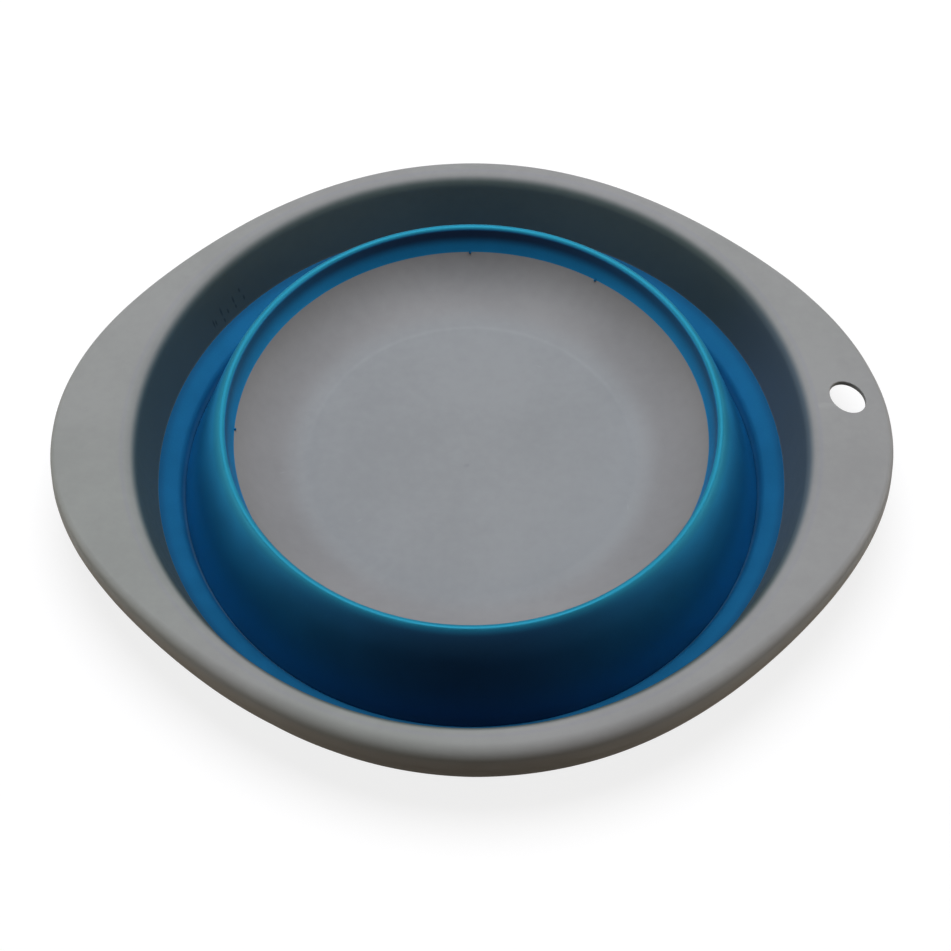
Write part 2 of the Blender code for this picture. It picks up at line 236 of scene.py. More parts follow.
def toned(tree, colour, low, high, tones, first, second, share):
    """The colour made darker and lighter by a mix of two noises, this share of it the second one."""
    kept = maths(tree, "MULTIPLY", first, 1 - share)
    shade = maths(tree, "ADD", kept, maths(tree, "MULTIPLY", second, share))
    tone = step(tree, shade, low, high, *tones)
    return node(tree, "VectorMath", {0: colour, "Scale": tone}, operation="SCALE").outputs[0]


def noise(tree, place, size, detail=2.0):
    """Cloudy values around 0.5, whose patches are about this size in metres."""
    sockets = {"Vector": place, "Scale": 1 / size, "Detail": detail}
    return node(tree, "TexNoise", sockets).outputs["Fac"]


def mark(tree, place, centre, size, turn, softness):
    """1 inside a small ellipsoid at the centre, 0 outside, with a soft edge."""
    sockets = {"Vector": place, "Location": centre, "Rotation": (0, 0, turn), "Scale": np.array(size) / 2}
    own = node(tree, "Mapping", sockets, vector_type="TEXTURE").outputs[0]
    away = node(tree, "VectorMath", {0: own}, operation="LENGTH").outputs["Value"]
    return step(tree, away, 1.0, 1.0 - softness)


def ring_at(tree, radius, middle, width):
    """1 on a circle round Z, falling to 0 at half the width on either side."""
    away = maths(tree, "ABSOLUTE", maths(tree, "SUBTRACT", radius, middle))
    return step(tree, away, width / 2, 0.0)


def specks(tree, place, spacing, size, share):
    """Round dots of about this size on a share of the cells of a random lattice with this spacing."""
    sockets = {"Vector": place, "Scale": 1 / spacing}
    cells = node(tree, "TexVoronoi", sockets)
    near = step(tree, cells.outputs["Distance"], size / spacing / 2, size / spacing / 4)
    picked = node(tree, "SeparateColor", {0: cells.outputs["Color"]}).outputs[0]
    return maths(tree, "MULTIPLY", near, maths(tree, "LESS_THAN", picked, share))


def bumped(tree, height, depth, strength, normal=None):
    """The surface's normal, tilted by a height pattern that is this deep in metres."""
    sockets = {"Height": height, "Distance": depth, "Strength": strength}
    if normal:
        sockets["Normal"] = normal
    return node(tree, "Bump", sockets).outputs[0]


def started(name):
    """A material, its tree and shader, the place on the object, and the distance from Z."""
    made = bpy.data.materials.new(name)
    made.use_nodes = True
    tree = made.node_tree
    place = node(tree, "TexCoord", {}).outputs["Object"]
    flat = node(tree, "VectorMath", {0: place, 1: (1, 1, 0)}, operation="MULTIPLY").outputs[0]
    radius = node(tree, "VectorMath", {0: flat}, operation="LENGTH").outputs["Value"]
    return made, tree, tree.nodes["Principled BSDF"], place, radius


GREY_TONES = (0.95, 1.05)
GREY_ROUGHNESS = (0.50, 0.60)
GREY_GLOSS = 0.15
GREY_DUST = (0.12, 0.12, 0.125, 1)
GREY_SPECKS = (0.0060, 0.00045, 0.10)
GREY_DUSTINESS = 0.35
CLOUD = 0.030
MOTTLE = 0.0032
MOTTLE_SHARE = 0.4
NOISE_RANGE = (0.3, 0.7)
GRAIN = 0.00035
GRAIN_DEPTH = 0.00004
GRAIN_STRENGTH = 0.5
WAVE = 0.012
WAVE_DEPTH = 0.0003
WAVE_STRENGTH = 0.10


def grey_finish(tree, surface, place, colour):
    """Satin moulded plastic: clouds, fine mottling, rare specks, a spark-eroded grain and uneven gloss."""
    clouds = noise(tree, place, CLOUD)
    mottle = noise(tree, place, MOTTLE, 3.0)
    whole = toned(tree, colour, *NOISE_RANGE, GREY_TONES, clouds, mottle, MOTTLE_SHARE)
    whole = tinted(tree, specks(tree, place, *GREY_SPECKS), GREY_DUSTINESS, whole, GREY_DUST)
    tree.links.new(whole, surface.inputs["Base Color"])
    rough = step(tree, mottle, *NOISE_RANGE, *GREY_ROUGHNESS)
    tree.links.new(rough, surface.inputs["Roughness"])
    surface.inputs["Specular IOR Level"].default_value = GREY_GLOSS
    grain = noise(tree, place, GRAIN, 3.0)
    waved = bumped(tree, noise(tree, place, WAVE, 1.0), WAVE_DEPTH, WAVE_STRENGTH)
    waved = bumped(tree, grain, GRAIN_DEPTH, GRAIN_STRENGTH, waved)
    tree.links.new(waved, surface.inputs["Normal"])


DISC_COLOUR = (0.308, 0.321, 0.330, 1)
RING_COLOUR = (0.310, 0.309, 0.311, 1)
# Painted shade: the corner ring is painted darker towards the sides, where the fold ring shades it.
RING_SIDE_SHADE = (0.262, 0.262, 0.266, 1)
RING_SHADE_SIDEWAYS = (0.3, 0.9)
RING_START = -0.0010
RING_END = 0.0090
# Painted highlight: a lighter line on the disc's edge, at the back only, where the lamp catches it.
EDGE_HIGHLIGHT = (0.360, 0.370, 0.380, 1)
EDGE_HIGHLIGHT_INSET = 0.0005
EDGE_HIGHLIGHT_WIDTH = 0.0026
EDGE_HIGHLIGHT_BACKWARDS = (-0.01, 0.04, 0.05, 0.35)
GATE_MARK = (-0.0013, -0.0042, 0.0141)
GATE_MARK_SIZE = (0.0030, 0.0022, 0.004)
GATE_MARK_TURN = 0.4
GATE_MARK_SOFTNESS = 0.8
GATE_MARK_STRENGTH = 0.3
GATE_MARK_COLOUR = (0.20, 0.205, 0.215, 1)
RUBBED = ((-0.0567, -0.0073), (0.0464, -0.0193), (0.021, 0.0335), (-0.033, -0.024))
RUB_SIZE = (0.0036, 0.0007, 0.004)
RUB_TURN = 0.5
RUB_TURN_STEP = 1.1
RUB_SOFTNESS = 0.7
RUB_STRENGTH = 0.35
RUB_COLOUR = (0.37, 0.38, 0.39, 1)

base_look, tree, surface, place, radius = started("grey_polypropylene_base")
axes = node(tree, "SeparateXYZ", {0: place}).outputs
off_disc = step(tree, radius, floor_radius + RING_START, floor_radius + RING_END)
sideways = maths(tree, "ABSOLUTE", maths(tree, "DIVIDE", axes["X"], radius))
# Painted shade on the corner ring, darker towards the sides.
ring_with_side_shade = blended(tree, step(tree, sideways, *RING_SHADE_SIDEWAYS), RING_COLOUR, RING_SIDE_SHADE)
colour = blended(tree, off_disc, DISC_COLOUR, ring_with_side_shade)
# Painted highlight along the disc's edge, towards the back.
backwards = step(tree, axes["Y"], *EDGE_HIGHLIGHT_BACKWARDS)
edge_highlight = ring_at(tree, radius, floor_radius - EDGE_HIGHLIGHT_INSET, EDGE_HIGHLIGHT_WIDTH)
colour = tinted(tree, edge_highlight, backwards, colour, EDGE_HIGHLIGHT)
gate = mark(tree, place, GATE_MARK, GATE_MARK_SIZE, GATE_MARK_TURN, GATE_MARK_SOFTNESS)
colour = tinted(tree, gate, GATE_MARK_STRENGTH, colour, GATE_MARK_COLOUR)
for i, (x, y) in enumerate(RUBBED):
    turn = RUB_TURN + RUB_TURN_STEP * i
    rub = mark(tree, place, (x, y, floor_height), RUB_SIZE, turn, RUB_SOFTNESS)
    colour = tinted(tree, rub, RUB_STRENGTH, colour, RUB_COLOUR)
grey_finish(tree, surface, place, colour)

rows = base_rows()
base = round_the_axis("base_moulding", rows[:, :1], rows[:, 1:2], closed=False)
base.data.materials.append(base_look)
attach(base, "base")
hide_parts("base_dish")

# Fold ring. The inner end of the soft wall, moulded onto the base in blue elastomer. It carries the
# base's rounded corner on to upright, then folds over a wide outer shoulder into the cone.

CREST_ROUND = 0.0013
SHOULDER_LEAD = 0.0014
SHOULDER_SHARE = 0.30
SHOULDER_INSET = 0.0019
SHOULDER_POINTS = 14
HINGE_WALL = 0.0011
panel_low, panel_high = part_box("flip_panel")
crest_height = collar_high.z
crest_radius = collar_high.x - SHOULDER_INSET
fold_ground = panel_low.z
toe_height = fold_ground + HINGE_WALL
toe_radius = panel_high.x
split = np.sqrt((crest_height - panel_high.z) / (SHOULDER_SHARE * (crest_height - toe_height)))
SOFT_WALL = 0.0016
COLLAR_LEAN = 0.0017
COLLAR_INNER_ROUND = 0.0005
COLLAR_FOOT = 0.0034
COLLAR_FOOT_HEIGHT = 0.0045
COLLAR_WAIST_HEIGHT = 0.0060


def shoulder(first, last, depth=0.0):
    """The fold's outer rounding, a parabola from level at the crest to the slope of the cone.

    point(t) = (1 - t)^2 start + 2 t (1 - t) corner + t^2 end, and all three move in by the depth.
    """
    corner = np.array([crest_radius + SHOULDER_LEAD, crest_height])
    along = np.array([toe_radius, toe_height]) - corner
    top, side = np.array([0, 1]), np.array([-along[1], along[0]]) / np.hypot(*along)
    start = corner - [SHOULDER_LEAD, 0] - depth * top
    end = corner + SHOULDER_SHARE * along - depth * side
    corner = corner - depth * (top + side) / (1 + top @ side)
    t = np.linspace(first, last, SHOULDER_POINTS)[:, None]
    return np.c_[(1 - t) ** 2 * start + 2 * t * (1 - t) * corner + t**2 * end, 0 * t].tolist()


def collar_rows():
    """Cove from the base's corner to upright, crest, shoulder, and the wall's hidden side."""
    bend = 2 * np.arctan2(CORNER_DROP, CORNER_RUN)
    upright = edge_radius + COLLAR_LEAN
    cove = COLLAR_LEAN / (1 - np.sin(bend))
    centre = (upright - cove, edge_height + cove * np.cos(bend))
    hidden = shoulder(split, split, SOFT_WALL)[0]
    corners = arc_corners(centre, cove, np.pi - bend, np.pi / 2)
    corners += [[upright, crest_height, CREST_ROUND]]
    corners += shoulder(0, split)
    corners += [
        hidden,
        [upright + SOFT_WALL, hidden[1] - COLLAR_INNER_ROUND, COLLAR_INNER_ROUND],
        [upright + SOFT_WALL, edge_height + COLLAR_WAIST_HEIGHT, 0],
        [edge_radius + COLLAR_FOOT, edge_height + COLLAR_FOOT_HEIGHT, 0],
        [edge_radius + COLLAR_FOOT, edge_height, 0],
    ]
    return rounded(corners)


# BLUE is the elastomer's own colour. The wall, fold and crest blues are lighter copies for a painted
# highlight over the crest, and the shaded blue is a darker copy for painted shade.
BLUE = (0.0132, 0.141, 0.304, 1)
BLUE_LIT_WALL = (0.014, 0.196, 0.440, 1)
BLUE_LIT_FOLD = (0.018, 0.250, 0.500, 1)
BLUE_CREST_HIGHLIGHT = (0.022, 0.250, 0.375, 1)
BLUE_SHADED = (0.013, 0.010, 0.046, 1)
BLUE_DUST = (0.10, 0.22, 0.31, 1)
# Painted highlight: a pale line along the lip beside the crease, at the front and left.
BLUE_LIP_HIGHLIGHT = (0.26, 0.40, 0.50, 1)
BLUE_TONES = (0.93, 1.07)
BLUE_ROUGHNESS = (0.50, 0.60)
BLUE_TONE_RANGE = (0.32, 0.68)
BLUE_SPECKS = (0.0070, 0.00040, 0.16)
BLUE_DUSTINESS = 0.30
BLUE_PEARL = 0.30
BLUE_EDGE = (0.05, 0.5, 0.75, 1)
BLUE_CLOUD = 0.014
FLECK = 0.0005
FLECK_SHARE = 0.3
FLECK_DEPTH = 0.00003
FLECK_STRENGTH = 0.35
RIPPLE_DEPTH = 0.0002
RIPPLE_STRENGTH = 0.06
LIP_HIGHLIGHT_LEFTWARD = (0.030, -0.030, 0.50, 1.0)
LIP_HIGHLIGHT_FORWARD = (0.010, -0.060, 0.10, 0.60)
# Painted highlight over the crest: where its band starts, how wide it is, and how light the wall and fold
# are painted.
CREST_HIGHLIGHT_START = 0.0014
CREST_HIGHLIGHT_WIDTH = 0.0024
CREST_HIGHLIGHT_WIDENING = 0.0027
CREST_EDGE = (-0.0001, 0.0005)
CREST_HIGHLIGHT_RISE = (-0.0020, -0.0012)
WALL_HIGHLIGHT = 0.30
FOLDED_HIGHLIGHT = 0.60
# Painted shade: the cone's front is painted deep blue, and the inside of the ring darker towards the crest.
FRONT_SHADE = 0.80
FRONT_SHADE_RUN = 0.0018
HIDDEN_SIDE = (-0.0012, -0.0006)
SIDE_SHADE = 0.35
SHADE_START = 0.0020
SHADE_END = 0.0028
FLASH_LINE = 0.0005
FLASH_PALENESS = 0.45


def attribute(piece, name, values):
    """Puts one number per vertex on a piece."""
    piece.data.attributes.new(name, "FLOAT", "POINT").data.foreach_set("value", values)


def places(piece):
    """The place of every vertex of a piece, in rows."""
    place = np.empty(len(piece.data.vertices) * 3)
    piece.data.vertices.foreach_get("co", place)
    return place.reshape(-1, 3)


def spread(piece):
    """Distance from Z, height, and sine of the angle round Z, of every vertex of a piece."""
    x, y, z = places(piece).T
    return np.hypot(x, y), z, y / np.hypot(x, y)


def smooth(value, low, high):
    """0 below low, 1 above high, and 3 t^2 - 2 t^3 between."""
    t = np.clip((value - low) / (high - low), 0, 1)
    return t * t * (3 - 2 * t)


def painted_light_and_shade(piece):
    """Puts painted light and shade on the elastomer: a painted highlight over the crest, and painted shade.

    The painted highlight is widest at the sides, by the square of the cosine of the angle round Z, and a
    paler flash line runs round the ring's foot. Inside the ring the painted shade deepens towards the
    crest, and outside towards the front, by the cube of the sine.
    The side that is hidden while the bowl is folded, well below the outer outline, keeps a plain blue.
    """
    radius, height, sine = spread(piece)
    upright = edge_radius + COLLAR_LEAN
    outside = smooth(radius - upright, *CREST_EDGE)
    outline = np.array(shoulder(0, 1) + [[toe_radius, toe_height, 0]])
    shown = smooth(height - np.interp(radius, outline[:, 0], outline[:, 1]), *HIDDEN_SIDE)
    width = CREST_HIGHLIGHT_WIDTH + CREST_HIGHLIGHT_WIDENING * (1 - sine**2)
    start = upright + CREST_HIGHLIGHT_START
    fall = shown * (1 - smooth((radius - start) / width, 0, 1))
    wall = WALL_HIGHLIGHT + (1 - WALL_HIGHLIGHT) * fall
    near = smooth(height - crest_height, *CREST_HIGHLIGHT_RISE)
    crest = np.where(radius > start, wall, outside * near)
    shade = SIDE_SHADE + (1 - SIDE_SHADE) * sine**2
    rising = smooth(height, edge_height + SHADE_START, crest_height - SHADE_END)
    inner = shade * (1 - outside) * rising
    flash = FLASH_PALENESS * (height < edge_height + FLASH_LINE)
    foot = (1 - outside) * np.maximum(WALL_HIGHLIGHT, flash)
    # Painted highlight over the crest and on the ring's inside, with the flash line at the foot.
    attribute(piece, "highlight_and_flash", np.maximum(crest, foot))
    # Painted shade on the front of the cone and on the inside of the ring.
    front = np.clip(-sine, 0, 1) ** 3 * smooth(radius, crest_radius, crest_radius + FRONT_SHADE_RUN)
    attribute(piece, "painted_shade", np.maximum(inner, FRONT_SHADE * shown * front))


def blue_finish(name):
    """Pearly elastomer in blue, with painted highlights and shade, flecks, dust and ripples."""
    made, tree, surface, place, radius = started(name)
    highlight_and_flash = node(tree, "Attribute", {}, attribute_name="highlight_and_flash").outputs["Fac"]
    painted_shade = node(tree, "Attribute", {}, attribute_name="painted_shade").outputs["Fac"]
    # Lighter copies of the blue for the painted highlight, and a shaded copy for painted shade.
    ramp = node(tree, "ValToRGB", {"Fac": highlight_and_flash})
    ramp.color_ramp.elements[0].color = BLUE
    ramp.color_ramp.elements[1].color = BLUE_CREST_HIGHLIGHT
    ramp.color_ramp.elements.new(WALL_HIGHLIGHT).color = BLUE_LIT_WALL
    ramp.color_ramp.elements.new(FOLDED_HIGHLIGHT).color = BLUE_LIT_FOLD
    colour = blended(tree, painted_shade, ramp.outputs["Color"], BLUE_SHADED)
    clouds = noise(tree, place, BLUE_CLOUD)
    flecks = noise(tree, place, FLECK)
    colour = toned(tree, colour, *BLUE_TONE_RANGE, BLUE_TONES, clouds, flecks, FLECK_SHARE)
    # Painted highlight along the lip beside the crease, towards the front and left.
    wear_and_highlight = node(tree, "Attribute", {}, attribute_name="wear_and_highlight").outputs["Fac"]
    axes = node(tree, "SeparateXYZ", {0: place}).outputs
    wear_and_highlight = maths(tree, "MULTIPLY", wear_and_highlight, step(tree, axes["Y"], *LIP_HIGHLIGHT_FORWARD))
    leftward = step(tree, axes["X"], *LIP_HIGHLIGHT_LEFTWARD)
    colour = tinted(tree, wear_and_highlight, leftward, colour, BLUE_LIP_HIGHLIGHT)
    colour = tinted(tree, specks(tree, place, *BLUE_SPECKS), BLUE_DUSTINESS, colour, BLUE_DUST)
    tree.links.new(colour, surface.inputs["Base Color"])
    rough = step(tree, clouds, *NOISE_RANGE, *BLUE_ROUGHNESS)
    tree.links.new(rough, surface.inputs["Roughness"])
    surface.inputs["Metallic"].default_value = BLUE_PEARL
    surface.inputs["Specular Tint"].default_value = BLUE_EDGE
    ripple = bumped(tree, noise(tree, place, WAVE, 1.0), RIPPLE_DEPTH, RIPPLE_STRENGTH)
    ripple = bumped(tree, flecks, FLECK_DEPTH, FLECK_STRENGTH, ripple)
    tree.links.new(ripple, surface.inputs["Normal"])
    return made


blue = blue_finish("blue_elastomer")

rows = collar_rows()
collar = round_the_axis("fold_ring", rows[:, :1], rows[:, 1:2])
painted_light_and_shade(collar)
collar.data.materials.append(blue)
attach(collar, "base")
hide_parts("fold_collar")

# Gate nubs. Three tiny stubs of the elastomer beside the base's edge, where the soft wall was injected.
# They stand half sunk in the foot of the fold ring.

NUB_RADIUS = 0.0004
NUB_HEIGHT = 0.0005
NUB_INSET = 0.0002
NUB_TURNS = (56.5, 90.2, 179.2)
NUB_ROWS = 11
NUB_STATIONS = 20


def moved(piece, place):
    """Puts every vertex of a piece at its row's place."""
    piece.data.vertices.foreach_set("co", place.ravel())
    piece.data.update()
    return piece


def nub(name, turn):
    """An ellipsoid: radius cos u round its own axis, height sin u above the seam, set at its angle."""
    tilt = np.linspace(-np.pi / 2, np.pi / 2, NUB_ROWS)[:, None]
    radius = np.repeat(NUB_RADIUS * np.cos(tilt), NUB_STATIONS, 1)
    piece = round_the_axis(name, radius, edge_height + NUB_HEIGHT * np.sin(tilt), closed=False)
    reach = edge_radius - NUB_INSET
    return moved(piece, places(piece) + [reach * np.cos(turn), reach * np.sin(turn), 0])


for i, turn in enumerate(NUB_TURNS):
    stub = nub(f"gate_nub_{i + 1}", np.radians(turn))
    stub.data.materials.append(blue)
    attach(stub, "base")

# Cone. The middle of the same blue elastomer wall, which turns inside out when the bowl is opened. It
# carries the fold ring's shoulder on, and runs down straight to the crease.

CREASE_LIP = 0.0008
CREASE_GROOVE = 0.0004


def cone_rows():
    """The shoulder from the split on, straight cone, toe, and the inner side."""
    corners = shoulder(split, 1)
    corners += [
        [toe_radius, toe_height, 0],
        [toe_radius, fold_ground, 0],
        [toe_radius - SOFT_WALL, fold_ground, HINGE_WALL / 2],
    ]
    corners += shoulder(1, split, SOFT_WALL)
    return rounded(corners)


rows = cone_rows()
cone = round_the_axis("flip_cone", rows[:, :1], rows[:, 1:2])
painted_light_and_shade(cone)
cone.data.materials.append(blue)
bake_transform(cone)
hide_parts("flip_panel")

# Ledge. The outer end of the elastomer wall, between the crease and the rim. Its inner edge is a sharp
# lip beside the crease, and its outer edge is moulded onto the rim's skirt.

LEDGE_RUN = 0.0072
KNEE_RUN = 0.0009
KNEE_RISE = 0.0021
KNEE_ROUND = 0.0032
LIP_EASE = 0.0001
LEDGE_OVERLAP = 0.0005
LEDGE_HEEL = 0.0034
LEDGE_HEEL_DEPTH = 0.0044
LEDGE_HEEL_ROUND = 0.0010
LIP_LIGHT = (0.0001, 0.0005)
# Painted shade: the ledge is painted darker close to the rim's skirt.
SEAM_SHADE = 0.35
SEAM_SHADE_RUN = 0.0026
_, band_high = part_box("upper_band")
seam_height = band_high.z + FIT_GAP
crease_radius = toe_radius + CREASE_GROOVE
crease_height = toe_height + CREASE_LIP
seam_radius = crease_radius + LEDGE_RUN


def ledge_rows():
    """Lip beside the crease, rounded knee, slope up to the rim's skirt, and the hidden side."""
    knee = crease_radius + KNEE_RUN
    corners = [
        [toe_radius, fold_ground, 0],
        [toe_radius, toe_height, 0],
        [crease_radius, crease_height, LIP_EASE],
        [knee, crease_height + KNEE_RISE, KNEE_ROUND],
        [seam_radius + LEDGE_OVERLAP, seam_height + LEDGE_OVERLAP / 2, 0],
        [seam_radius + LEDGE_HEEL, seam_height, 0],
        [seam_radius + LEDGE_HEEL, seam_height - LEDGE_HEEL_DEPTH, LEDGE_HEEL_ROUND],
        [knee + SOFT_WALL, crease_height + KNEE_RISE - SOFT_WALL, KNEE_ROUND],
        [crease_radius + SOFT_WALL, fold_ground, HINGE_WALL / 2],
    ]
    return rounded(corners)


rows = ledge_rows()
ledge = round_the_axis("fold_ledge", rows[:, :1], rows[:, 1:2])
radius, height, _ = spread(ledge)
# The lip beside the crease carries a painted highlight.
lip = 1 - smooth(np.abs(radius - crease_radius), *LIP_LIGHT)
attribute(ledge, "wear_and_highlight", lip * (height > toe_height))
# Painted shade on the ledge next to the seam.
attribute(ledge, "painted_shade", SEAM_SHADE * smooth(radius, seam_radius - SEAM_SHADE_RUN, seam_radius))
ledge.data.materials.append(blue)
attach(ledge, "rim")
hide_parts("upper_band")

# Rim. A stiff ring in the base's grey plastic, moulded in one piece: slanted skirt, rolled flange and
# turned-down lip, drawn out into two ears. The right ear has an oval hole to hang the bowl by. The
# skirt's lower edge is bonded to the ledge.

SKIRT_LEAN = 0.00565
SKIRT_WALL = 0.0025
RIM_WALL = 0.0018
RIM_INNER_ROUND = 0.0050
RIM_FLAT = 0.0005
RIM_OUTER_ROUND = 0.0044
LIP_DEPTH = 0.0103
LIP_WALL = 0.0018
LIP_DRAFT = 0.0004
LIP_FLARE = 0.0009
LIP_FLARE_HEIGHT = 0.0030
LIP_EDGE_ROUND = 0.0005
EAR_POWER = 6.9
EAR_LIP_RISE = 0.0048
EAR_EDGE_ROUND = 0.0018
EAR_FADE = 3
TRIM_UNIT = 0.0001
OUTLINE_TRIM = (
    -1, -3, 1, 4, 2, -1, -3, -3, -2, -2, -3, -4, -4, -3, -4, -6, -7, -8,
    -6, 1, 4, 3, 0, -3, -7, -5, 0, 5, 7, 9, 10, 11, 10, 8, 5, 3,
)
HANG_HOLE_LENGTH = 0.0124
HANG_HOLE_WIDTH = 0.0096
HANG_HOLE_TURN = np.radians(-57)
HANG_HOLE_INSET = 0.0121
HANG_HOLE_OFFSET = 0.0107
HANG_HOLE_EASE = 0.0003
HANG_HOLE_STATIONS = 96
HANG_HOLE_EASE_POINTS = 8
_, rim_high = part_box("rim_frame")
rim_top = rim_high.z
skirt_height = rim_top - seam_height
skirt_angle = np.arctan2(SKIRT_LEAN, skirt_height)
inner_reach = RIM_INNER_ROUND * np.tan((np.pi / 2 - skirt_angle) / 2)
rim_outer = seam_radius + SKIRT_LEAN + inner_reach + RIM_FLAT + RIM_OUTER_ROUND
ear_out = rim_high.x - rim_outer - LIP_DRAFT


def rim_rows():
    """Skirt, inner rounding, flange, outer rounding, lip, and the same from below."""
    under = rim_top - RIM_WALL
    under_corner = seam_radius + SKIRT_LEAN * (skirt_height - RIM_WALL) / skirt_height + SKIRT_WALL
    lip_edge = rim_top - LIP_DEPTH
    waist = lip_edge + LIP_FLARE_HEIGHT
    lip_side = rim_outer + LIP_DRAFT
    corners = [
        [seam_radius, seam_height, 0],
        [seam_radius + SKIRT_LEAN, rim_top, RIM_INNER_ROUND],
        [rim_outer, rim_top, RIM_OUTER_ROUND, 1, 1],
        [lip_side, waist, 0, 1],
        [lip_side, lip_edge, LIP_EDGE_ROUND, 1],
        [lip_side - LIP_WALL, lip_edge, LIP_EDGE_ROUND, 1],
        [lip_side - LIP_WALL, waist, 0, 1],
        [rim_outer - LIP_WALL, under, RIM_OUTER_ROUND - RIM_WALL, 1, 1],
        [under_corner, under, RIM_INNER_ROUND - RIM_WALL],
        [seam_radius + SKIRT_WALL, seam_height, 0],
    ]
    return rounded(corners)


def drawn_out(rows, angle):
    """Radius and height of the rim's rows at each angle, with the ears drawn out.

    With c = |cos t|, a row that follows the outline moves out by ear_out * c^EAR_POWER. Its outer
    rounding tightens and its lip rises as c^EAR_FADE, and the lip's lower end flares as 1 less that
    and as the square of its depth below the waist. The trim, in its own unit at equal turns round Z
    from +X on, shifts the outline by up to about a millimetre.
    """
    cosine = np.abs(np.cos(angle))[None, :]
    fade = cosine**EAR_FADE
    radius, height, follows, run, rise = (column[:, None] for column in rows.T)
    tighter = (1 - EAR_EDGE_ROUND / RIM_OUTER_ROUND) * fade
    lip = (follows > 0) & (height < rim_top - RIM_OUTER_ROUND)
    share = np.clip((rim_top - RIM_OUTER_ROUND - height) / (LIP_DEPTH - RIM_OUTER_ROUND), 0, 1)
    flare = np.clip((rim_top - LIP_DEPTH + LIP_FLARE_HEIGHT - height) / LIP_FLARE_HEIGHT, 0, None)
    turns = np.linspace(0, 2 * np.pi, len(OUTLINE_TRIM), endpoint=False)
    trim = np.interp(angle, turns, OUTLINE_TRIM, period=2 * np.pi)
    out = ear_out * cosine**EAR_POWER + TRIM_UNIT * trim
    drawn = radius + follows * out - tighter * run + lip * LIP_FLARE * flare**2 * (1 - fade)
    return drawn, height - tighter * rise + lip * EAR_LIP_RISE * fade * share


def hole_cutter(name, low, high):
    """A post whose radius grows along a quarter circle at each face, squeezed to an oval and turned."""
    turn = np.linspace(0, np.pi / 2, HANG_HOLE_EASE_POINTS)
    beyond = 0.002
    radius = HANG_HOLE_LENGTH / 2
    wide = radius + HANG_HOLE_EASE
    lower = np.c_[radius + HANG_HOLE_EASE * (1 - np.sin(turn)), low + HANG_HOLE_EASE * (1 - np.cos(turn))]
    upper = np.c_[radius + HANG_HOLE_EASE * (1 - np.cos(turn)), high - HANG_HOLE_EASE * (1 - np.sin(turn))]
    ends = [[0, low - beyond], [wide, low - beyond]], [[wide, high + beyond], [0, high + beyond]]
    post = np.vstack([ends[0], lower, upper, ends[1]])
    radii = np.repeat(post[:, :1], HANG_HOLE_STATIONS, 1)
    piece = round_the_axis(name, radii, post[:, 1:2], closed=False)
    along, across, up = places(piece).T
    across = across * HANG_HOLE_WIDTH / HANG_HOLE_LENGTH
    cosine, sine = np.cos(HANG_HOLE_TURN), np.sin(HANG_HOLE_TURN)
    x = rim_outer + ear_out - HANG_HOLE_INSET + along * cosine - across * sine
    y = HANG_HOLE_OFFSET + along * sine + across * cosine
    return moved(piece, np.c_[x, y, up])


# Painted shade: the skirt is the rim's grey plastic, painted as a darker, cooler grey for the shade inside
# the bowl, with its own depth at the back and at each side.
SKIRT_SHADE_LEFT = (0.083, 0.126, 0.140, 1)
SKIRT_SHADE_RIGHT = (0.112, 0.150, 0.180, 1)
SKIRT_SHADE_BACK = (0.092, 0.118, 0.111, 1)
EAR_GREEN = (0.309, 0.322, 0.308, 1)
FLANGE_GREY = (0.315, 0.318, 0.315, 1)
# Painted warm light: the lip is tinted warmer downwards, for light thrown up onto it from below.
LIP_WARM_BOUNCE = (0.312, 0.294, 0.262, 1)
LIP_WARM_BOUNCE_START = 0.0020
LIP_WARM_BOUNCE_END = 0.0060
EAR_CLOUD = 0.09
EAR_CLOUD_RANGE = (0.35, 0.65)
SKIRT_SIDEWAYS = 0.78
SKIRT_START = 0.0021
SKIRT_END = 0.0041
SKIRT_LOWERED = (-0.25, -0.85, 0.0, 0.0006)
# Painted bluish glow along the inner rounding at the top of the skirt.
SKIRT_GLOW = (0.285, 0.290, 0.325, 1)
SKIRT_GLOW_INSET = 0.0006
SKIRT_GLOW_WIDTH = 0.0022
SKIRT_GLOW_STRENGTH = 0.4
WORN_GREY = (0.40, 0.40, 0.40, 1)
WORN_POINTINESS = (0.53, 0.60)
WORN_STRENGTH = 0.25
SCUFF_COLOUR = (0.02, 0.024, 0.026, 1)
SCUFF_SOFTNESS = 0.8
SCUFF_STRENGTH = 0.6
SCUFF_REACH = 0.0028
SCUFF_WIDTH = 0.0010
SCUFFS = (
    (-0.0811, 0.0513, 0.0128, 0.0050),
    (-0.0805, 0.0521, 0.0124, 0.0034),
    (-0.0790, 0.0552, 0.0140, 0.0056),
    (-0.0771, 0.0570, 0.0123, 0.0030),
    (-0.0781, 0.0547, 0.0106, 0.0024),
    (-0.0755, 0.0600, 0.0142, 0.0044),
    (-0.0737, 0.0629, 0.0156, 0.0026),
    (-0.0724, 0.0628, 0.0122, 0.0030),
    (-0.0748, 0.0596, 0.0116, 0.0022),
)

rim_look, tree, surface, place, radius = started("grey_polypropylene_rim")
axes = node(tree, "SeparateXYZ", {0: place}).outputs
sideways = maths(tree, "DIVIDE", axes["X"], radius)
clouds = noise(tree, place, EAR_CLOUD, 1.0)
colour = blended(tree, step(tree, clouds, *EAR_CLOUD_RANGE), EAR_GREEN, FLANGE_GREY)
# Painted warm light on the lip, growing downwards.
down = step(tree, axes["Z"], rim_top - LIP_WARM_BOUNCE_START, rim_top - LIP_WARM_BOUNCE_END)
colour = blended(tree, down, colour, LIP_WARM_BOUNCE)
